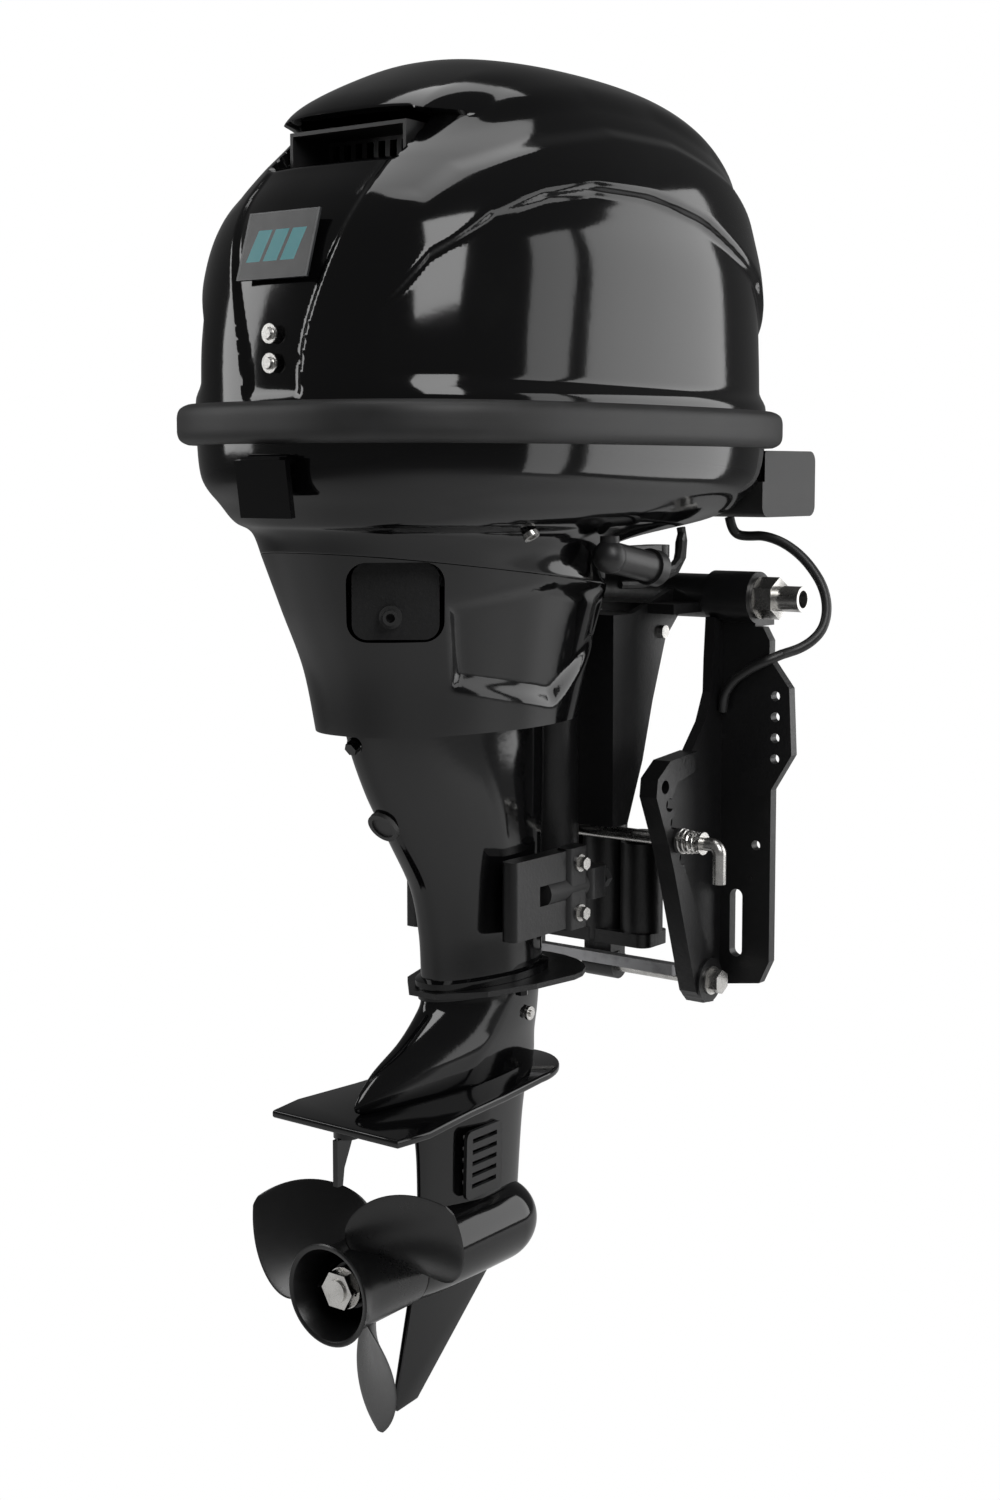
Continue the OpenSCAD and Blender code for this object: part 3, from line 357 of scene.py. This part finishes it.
def cowlRelief(c, p):
    # how far the skin lies inside its outer form, in millimetres, sideways and forward
    side = smoothStep(abs(p.x), 60, 120)
    arch = overLine(c["panelArch"], p.y)
    band = overLine(c["bandArch"], p.y)
    flat = smoothStep(arch - p.z, -2, 10) * smoothStep(p.z, 285, 300) * smoothStep(p.y, -482, -462)
    flat *= 1 - smoothStep(p.y, 20, 60)
    above = smoothStep(p.z - band, -2, 9) * (1 - smoothStep(p.z - band, 22, 46))
    inward = side * (c["archDepth"] * flat + c["bandDepth"] * above)
    half = 24 + 34 * smoothStep(p.z, 290, 455)  # tapered panel down the aft face
    onAft = 1 - smoothStep(p.y, -440, -400)
    panel = (1 - smoothStep(abs(p.x), half, half + 6)) * smoothStep(p.z, 282, 292) * onAft
    w, low, high = c["mouth"]
    mouth = (1 - smoothStep(abs(p.x), w - 3, w + 3)) * smoothStep(p.z, low - 3, low + 2)
    mouth *= (1 - smoothStep(p.z, high - 2, high + 3)) * (1 - smoothStep(p.y, -330, -300))
    w, low, reach = c["hood"]  # the roof stands out aft over the mouth
    roof = (1 - smoothStep(abs(p.x), w, w + 26)) * smoothStep(p.z, low - 5, low - 1)
    roof *= (1 - smoothStep(p.z, low + 2, low + 52)) * (1 - smoothStep(p.y, -330, -250))
    return inward, 4.0 * panel - reach * roof, mouth


def makeUpperCowl(c):
    rings = upperRings(c, 0)
    for r in rings:
        for p in r:
            inward, panel, mouth = cowlRelief(c, p)
            p.x -= math.copysign(min(inward, abs(p.x)), p.x)
            p.y += panel + 16 * mouth
    bm = loft(rings, False, True)
    w, low, high = c["mouth"]
    gone = [f for f in bm.faces if abs(f.calc_center_median().x) < (w - 3) * 0.001
            and low * 0.001 + 0.002 < f.calc_center_median().z < high * 0.001 - 0.001
            and f.calc_center_median().y < -0.3]
    bmesh.ops.delete(bm, geom=gone, context="FACES")
    bmesh.ops.recalc_face_normals(bm, faces=bm.faces)
    obj = piece("upperCowling", bm, "upper_cowl", "gloss", ["upper_cowl"], 32)
    wall = obj.modifiers.new("wall", "SOLIDIFY")
    wall.thickness, wall.offset = c["wall"] * 0.001, -1
    return obj


makeUpperCowl(upperCowl)
print("upper cowling done")

pan = dict(rings=[[147, -458, -128, 113, 0.16, 2.6, -0.118], [173, -462, -124, 120, 0.14, 2.6, -0.047],
                  [188, -468, 10, 144, 0.1, 2.8, 0], [202, -475, 45, 158, 0.08, 2.9, 0],
                  [224, -485, 63, 170, 0.05, 3, 0], [262, -487, 68, 174, 0.04, 3, 0]], wall=3.5)


def makeLowerCowl(c):
    rings = [egg(*r, 200) for r in between(c["rings"], 46)]
    bm = loft(rings, False, False)
    obj = piece("lowerCowling", bm, "motor", "gloss", ["lower_cowl"], 40)
    wall = obj.modifiers.new("wall", "SOLIDIFY")
    wall.thickness, wall.offset = c["wall"] * 0.001, -1


makeLowerCowl(pan)
rail = dict(profile=[[0, -8], [0.05, -4.5], [0.14, -1.5], [0.32, 0], [0.68, 0], [0.86, -1.5],
                     [0.95, -4.5], [1, -8]], low=250, height=32, aft=-501, fwd=82, half=188)


def makeRail(c):
    outer = [egg(c["low"] + h * c["height"], c["aft"] - out, c["fwd"] + out, c["half"] + out,
                 0.04, 3, 0, 220) for h, out in ((h, min(out, 0)) for h, out in between(c["profile"], 24))]
    inner = [egg(z, c["aft"] + 13.7, c["fwd"] - 13.7, 174.3, 0.04, 3, 0, 220)
             for z in (c["low"] + c["height"], c["low"])]
    bm = loft(outer + inner + [outer[0]], False, False)
    bmesh.ops.remove_doubles(bm, verts=bm.verts, dist=1e-6)
    bmesh.ops.recalc_face_normals(bm, faces=bm.faces)
    piece("rubRail", bm, "motor", "rubber", ["rub_rail"], 40)


makeRail(rail)
leg = dict(rings=[[-206, -308, -159, 41, 0.36], [-200, -308, -159, 41, 0.36], [-198, -302, -165, 36, 0.36],
                  [-160, -306, -165, 36, 0.40], [-119, -318, -165, 38, 0.45], [-76, -346, -165, 41, 0.50],
                  [-31, -376, -165, 44, 0.50], [20, -398, -165, 47, 0.48], [60, -396, -164, 52, 0.42],
                  [120, -392, -164, 66, 0.2]])


def makeLeg(c):
    low = [egg(*r, 2.8, 0, 120) for r in c["rings"][:3]]
    high = [egg(*r, 2.8, 0, 120) for r in between(c["rings"][2:], 60)]
    piece("midsectionCasting", loft(low + high[1:], True, True), "motor", "casting",
          ["midsection"], 40)


makeLeg(leg)

apron = dict(rings=[[20, -410, -150, 86, 0.22, 2.6, 0], [65, -420, -142, 94, 0.2, 2.6, -0.047],
                    [107, -440, -134, 103, 0.18, 2.6, -0.083], [146.7, -458, -128, 113, 0.16, 2.6, -0.118]],
             wall=3.5, window=(64, -420, 135), windowTurn=-50, windowSize=(63, 76, 16),
             scallop=[(-386, 131), (-275, 146), (-162, 128), (-160, 85), (-246, 34), (-362, 56)], dip=6.0)


def roundedBlock(size, radius, matrix):
    bm = bmesh.new()
    bmesh.ops.create_cube(bm, size=1, matrix=Matrix.Diagonal((*size, 1)))
    upright = [e for e in bm.edges if abs(e.verts[0].co.z - e.verts[1].co.z) > 1e-6]
    bmesh.ops.bevel(bm, geom=upright, offset=radius, offset_type="OFFSET", affect="EDGES", segments=8,
                    profile=0.5, material=-1)
    bmesh.ops.transform(bm, matrix=matrix, verts=bm.verts)
    return bm


def cutWith(obj, cutters):
    for bm in cutters:
        mesh = bpy.data.meshes.new("cutter")
        bm.to_mesh(mesh)
        bm.free()
        tool = bpy.data.objects.new("cutter", mesh)
        scene.collection.objects.link(tool)
        cut = obj.modifiers.new("cut", "BOOLEAN")
        cut.operation, cut.solver, cut.object = "DIFFERENCE", "EXACT", tool
        made = bpy.data.meshes.new_from_object(obj.evaluated_get(bpy.context.evaluated_depsgraph_get()))
        obj.modifiers.clear()
        obj.data = made
        bpy.data.objects.remove(tool)
        bpy.data.meshes.remove(mesh)
    obj.data.set_sharp_from_angle(angle=math.radians(35))


def dipInside(c, p):
    # depth of the concave side panel, from how far the point lies inside its outline
    inside, near = False, 1e9
    line = c["scallop"]
    for (ya, za), (yb, zb) in zip(line, line[1:] + line[:1]):
        if (za > p.z) != (zb > p.z) and p.y < (yb - ya) * (p.z - za) / (zb - za) + ya:
            inside = not inside
        along = (p.y - ya) * (yb - ya) + (p.z - za) * (zb - za)
        t = max(0, min(1, along / ((yb - ya) ** 2 + (zb - za) ** 2)))
        near = min(near, math.hypot(p.y - ya - t * (yb - ya), p.z - za - t * (zb - za)))
    return c["dip"] * smoothStep(near, 0, 16) if inside else 0


def makeApron(c):
    rings = [egg(*r, 180, 0.2) for r in between(c["rings"], 64)]
    for ring in rings:
        for p in ring:
            p.x -= math.copysign(dipInside(c, p), p.x)
    bm = loft(rings, False, False)
    obj = piece("apronShroud", bm, "motor", "gloss", ["apron"], 35)
    wall = obj.modifiers.new("wall", "SOLIDIFY")
    wall.thickness, wall.offset = c["wall"] * 0.001, -1
    turn = Matrix.Rotation(math.radians(c["windowTurn"]), 4, "Z") @ Matrix.Rotation(math.pi / 2, 4, "Y")
    w, d, r = [v * 0.001 for v in c["windowSize"]]
    place = Matrix.Translation([v * 0.001 for v in c["window"]]) @ turn
    window = roundedBlock((w, d, 0.06), r, place @ Matrix.Translation((-0.025 + w / 2, 0, 0)))
    tilt = Matrix.Translation((0, -0.1805, 0)) @ Matrix.Rotation(math.radians(-14), 4, "X")
    front = roundedBlock((0.16, 0.1, 0.24), 0.004, tilt @ Matrix.Translation((0, 0.05, 0.09)))
    cutWith(obj, [window, front])


makeApron(apron)
lowerUnit = dict(
    strut=[[-406, -318, -182, 17, 0.5], [-340, -320, -176, 19, 0.5], [-302, -332, -168, 22, 0.5],
           [-290, -396, -160, 26, 0.62], [-266, -380, -162, 31, 0.6], [-246, -340, -162, 34, 0.5],
           [-226, -312, -163, 36, 0.4], [-216.3, -306, -163, 36, 0.36]],
    collar=[[-216.3, -306, -163, 36, 0.36], [-215.3, -308, -159, 41, 0.36], [-211.3, -308, -159, 41, 0.36]],
    low=-431, radius=37, aft=-344, bore=32, plate=-296, plateThick=7,
    outline=[(-67, -424), (-72, -389), (-64, -326), (-60, -274)], bow=(-52, -210, 64),
    skeg=[(-326, -451), (-352, -553), (-348, -559), (-322, -557), (-214, -465), (-206, -451)])


def flatShape(points, place, push, edge):
    bm = bmesh.new()
    face = bm.faces.new([bm.verts.new(place(p)) for p in points])
    grown = bmesh.ops.extrude_face_region(bm, geom=[face])["geom"]
    moved = [v for v in grown if isinstance(v, bmesh.types.BMVert)]
    bmesh.ops.translate(bm, verts=moved, vec=push)
    rims = [e for e in bm.edges if len(e.link_faces) == 2 and e.calc_face_angle() > 1.2
            and abs((e.verts[1].co - e.verts[0].co).normalized().dot(Vector(push).normalized())) < 0.5]
    bmesh.ops.bevel(bm, geom=rims, offset=edge, offset_type="OFFSET", affect="EDGES", segments=3,
                    profile=0.5, material=-1)
    bmesh.ops.recalc_face_normals(bm, faces=bm.faces)
    return bm


def joinInto(bm, other):
    part = bpy.data.meshes.new("part")
    other.to_mesh(part)
    other.free()
    bm.from_mesh(part)
    bpy.data.meshes.remove(part)


def makeLowerUnit(c):
    bm = loft([egg(*r, 2.2, 0, 112) for r in between(c["strut"], 90)])
    joinInto(bm, loft([egg(*r, 2.2, 0, 112) for r in c["collar"]]))
    half = c["outline"] + [(c["bow"][0] * math.cos(math.radians(a)), c["bow"][1] + c["bow"][2]
                            * math.sin(math.radians(a))) for a in range(0, 181, 6)]
    outline = half + [(-x, y) for x, y in reversed(c["outline"])]
    under = (c["plate"] - c["plateThick"] / 2) * 0.001
    joinInto(bm, flatShape(outline, lambda q: (q[0] * 0.001, q[1] * 0.001, under),
                           (0, 0, c["plateThick"] * 0.001), 0.0022))
    joinInto(bm, flatShape(c["skeg"], lambda q: (-0.0025, q[0] * 0.001, q[1] * 0.001), (0.005, 0, 0), 0.0018))
    drum = bmesh.new()
    r = c["radius"]
    side = [(c["bore"], c["aft"] + 4), (c["bore"], c["aft"]), (r - 3.6, c["aft"]), (r - 3, c["aft"] + 0.6),
            (r - 1.4, c["aft"] + 16), (r, c["aft"] + 40)]
    for a in range(0, 90, 5):  # round nose
        t = math.radians(a)
        side.append((r * math.cos(t), c["aft"] + 130 + 43 * math.sin(t)))
    side += [(0, c["aft"] + 173)]
    verts = [drum.verts.new((q * 0.001, y * 0.001, c["low"] * 0.001)) for q, y in side]
    edges = [drum.edges.new(pair) for pair in zip(verts, verts[1:])]
    bmesh.ops.spin(drum, geom=verts + edges, cent=(0, 0, c["low"] * 0.001), axis=(0, 1, 0),
                   angle=2 * math.pi, steps=96, use_merge=True)
    bmesh.ops.remove_doubles(drum, verts=drum.verts, dist=1e-6)
    bmesh.ops.recalc_face_normals(drum, faces=drum.faces)
    joinInto(bm, drum)
    piece("gearcaseCasting", bm, "motor", "casting", ["gearcase"], 35)


makeLowerUnit(lowerUnit)
print("covers, midsection and gearcase done")

wheel = dict(diameter=251, hub=70, pitch=292, boss=-384, low=-431, turn=50, blades=3, rows=36, around=48)


def bladeRing(c, t):
    r = c["hub"] / 2 - 4 + t * (c["diameter"] / 2 - c["hub"] / 2 + 4)
    s = max(t, 0)
    chord = 62 + 46 * math.sin(math.pi * s ** 0.75) - 58 * s ** 5
    thick = 5 - 3.2 * t
    angle = math.atan(c["pitch"] / (2 * math.pi * r))
    ring = []
    for k in range(c["around"]):
        a = -2 * math.pi * k / c["around"]
        u, w = chord / 2 * math.cos(a), thick / 2 * math.sin(a)
        turn = (u * math.cos(angle) - w * math.sin(angle)) / r
        ring.append(Vector((r * math.sin(turn), u * math.sin(angle) + w * math.cos(angle) - 10 * t,
                            r * math.cos(turn))))
    return ring


def makePropeller(c):
    bm = bmesh.new()
    for i in range(c["blades"]):
        blade = loft([bladeRing(c, -0.02 + k / c["rows"] * 1.005) for k in range(c["rows"] + 1)])
        spin = Matrix.Rotation(math.radians(c["turn"] + i * 360 / c["blades"]), 4, "Y")
        bmesh.ops.transform(blade, matrix=Matrix.Translation((0, c["boss"] * 0.001, c["low"] * 0.001)) @ spin,
                            verts=blade.verts)
        part = bpy.data.meshes.new("blade")
        blade.to_mesh(part)
        blade.free()
        bm.from_mesh(part)
        bpy.data.meshes.remove(part)
    rim, hub, a = 42, 35, -434
    outline = [(rim - 2.5, a), (rim - 1, a - 0.0), (rim, a + 1), (rim - 1.4, a + 4), (rim - 4, a + 8),
               (rim - 5.6, a + 16), (hub + 0.5, a + 26), (hub, a + 87), (hub - 4, a + 87), (hub - 4, a + 26),
               (rim - 7.5, a + 8), (rim - 4.5, a + 1)]
    verts = [bm.verts.new((r * 0.001, y * 0.001, c["low"] * 0.001)) for r, y in outline]
    edges = [bm.edges.new((v, w)) for v, w in zip(verts, verts[1:] + verts[:1])]
    bmesh.ops.spin(bm, geom=verts + edges, cent=(0, 0, c["low"] * 0.001), axis=(0, 1, 0),
                   angle=2 * math.pi, steps=96, use_merge=True)
    bmesh.ops.create_cone(bm, cap_ends=True, segments=48, radius1=0.019, radius2=0.019, depth=0.056,
                          matrix=Matrix.Translation((0, -0.377, c["low"] * 0.001))
                          @ Matrix.Rotation(math.pi / 2, 4, "X"))
    for i in range(3):
        place = (Matrix.Translation((0, -0.380, c["low"] * 0.001))
                 @ Matrix.Rotation(math.radians(30 + 120 * i), 4, "Y")
                 @ Matrix.Translation((0.0255, 0, 0)) @ Matrix.Diagonal((0.017, 0.05, 0.005, 1)))
        web = bmesh.ops.create_cube(bm, size=1, matrix=place)
        bmesh.ops.bevel(bm, geom=list({e: 0 for v in web["verts"] for e in v.link_edges}), offset=0.0012,
                        offset_type="OFFSET", affect="EDGES", segments=2, profile=0.5, material=-1)
    bmesh.ops.recalc_face_normals(bm, faces=bm.faces)
    piece("propellerWheel", bm, "propeller", "blade", ["propeller"], 40)


makePropeller(wheel)
print("propeller done")

cables = dict(
    width=9,
    route=[[97, 18, 187.5], [98, 20, 178], [102, 24, 171], [112, 28, 170], [126, 31, 171],
           [144, 35, 165], [160, 38, 154], [172, 40, 141], [182, 40, 127], [188, 38, 112],
           [190, 34, 98], [189, 27, 86], [184, 18, 77], [177, 10, 71], [171, 2, 68], [167, -6, 66],
           [161, -16, 62], [151, -20, 57], [140, -21, 51], [128, -21, 43], [119, -20, 33],
           [114, -18, 23], [113, -17, 12]], cut=15)


def tube(name, points, width):
    curve = bpy.data.curves.new(name, "CURVE")
    curve.dimensions = "3D"
    curve.bevel_depth, curve.bevel_resolution, curve.resolution_u = width * 0.0005, 5, 6
    curve.use_fill_caps = True
    line = curve.splines.new("NURBS")
    line.points.add(len(points) - 1)
    for p, q in zip(line.points, points):
        p.co = (q[0] * 0.001, q[1] * 0.001, q[2] * 0.001, 1)
    line.use_endpoint_u, line.order_u = True, 3
    obj = bpy.data.objects.new(name, curve)
    scene.collection.objects.link(obj)
    mesh = bpy.data.meshes.new_from_object(obj.evaluated_get(bpy.context.evaluated_depsgraph_get()))
    bpy.data.objects.remove(obj)
    bm = bmesh.new()
    bm.from_mesh(mesh)
    bpy.data.meshes.remove(mesh)
    bmesh.ops.remove_doubles(bm, verts=bm.verts, dist=1e-6)
    bmesh.ops.recalc_face_normals(bm, faces=bm.faces)
    return bm


def makeTiltCable(c):
    first, second = c["route"][:c["cut"] + 1], c["route"][c["cut"]:]
    upper = piece("tiltCableUpper", tube("a", first, c["width"]), None, "hose", ["tilt_cable"])
    lower = piece("tiltCableLower", tube("b", second, c["width"]), None, "hose", ())
    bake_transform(upper)
    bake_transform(lower)


makeTiltCable(cables)
print("cables done")


def studio():
    floorBm = bmesh.new()
    bmesh.ops.create_grid(floorBm, x_segments=1, y_segments=1, size=8,
                          matrix=Matrix.Translation((0, 0, cadBox[0][2] - 0.25)))
    mesh = bpy.data.meshes.new("floor")
    floorBm.to_mesh(mesh)
    floorBm.free()
    floor = bpy.data.objects.new("floor", mesh)
    scene.collection.objects.link(floor)
    r = Recipe("paleFloor")
    tone = r.mix(r.noise(3.0) * 0.3, (0.86, 0.86, 0.86, 1), (0.8, 0.8, 0.8, 1))
    mesh.materials.append(r.finish(Base_Color=tone, Roughness=0.7))
    paper = r.node("ShaderNodeEmission", {}, {"Color": (1, 1, 1, 1), "Strength": 1.0})
    seen = r.tree.nodes.new("ShaderNodeLightPath")
    camera = Field(r, seen.outputs["Is Camera Ray"])
    both = r.node("ShaderNodeMixShader", {}, {0: camera, 1: Field(r, r.shader.outputs[0]), 2: paper})
    r.tree.links.new(both.socket, r.tree.nodes["Material Output"].inputs[0])
    world = bpy.data.worlds.new("world")
    scene.world = world
    world.use_nodes = True
    nodes, links = world.node_tree.nodes, world.node_tree.links
    back = nodes["Background"]
    back.inputs[0].default_value = (1, 1, 1, 1)
    path = nodes.new("ShaderNodeLightPath")
    level = nodes.new("ShaderNodeMath")
    level.operation = "MULTIPLY_ADD"
    links.new(path.outputs["Is Camera Ray"], level.inputs[0])
    level.inputs[1].default_value, level.inputs[2].default_value = 0.88, 0.12
    links.new(level.outputs[0], back.inputs[1])
    lamps = [("keyLamp", (1.9, -1.1, 1.6), 1.1, 1.5, 34), ("fillLamp", (-1.9, -1.7, 1.0), 0.8, 1.8, 22),
             ("topLamp", (0, -0.2, 2.4), 1.6, 1.6, 22), ("edgeLamp", (2.1, 0.8, 0.4), 0.6, 2.0, 8),
             ("sideLamp", (1.7, 2.1, 0.5), 1.5, 2.2, 26)]
    for name, place, wide, tall, power in lamps:
        data = bpy.data.lights.new(name, "AREA")
        data.shape, data.size, data.size_y, data.energy = "RECTANGLE", wide, tall, power
        lamp = bpy.data.objects.new(name, data)
        lamp.location = place
        lamp.rotation_euler = (Vector((0, -0.2, 0.1)) - Vector(place)).to_track_quat("-Z", "Y").to_euler()
        scene.collection.objects.link(lamp)


studio()
print("studio done")
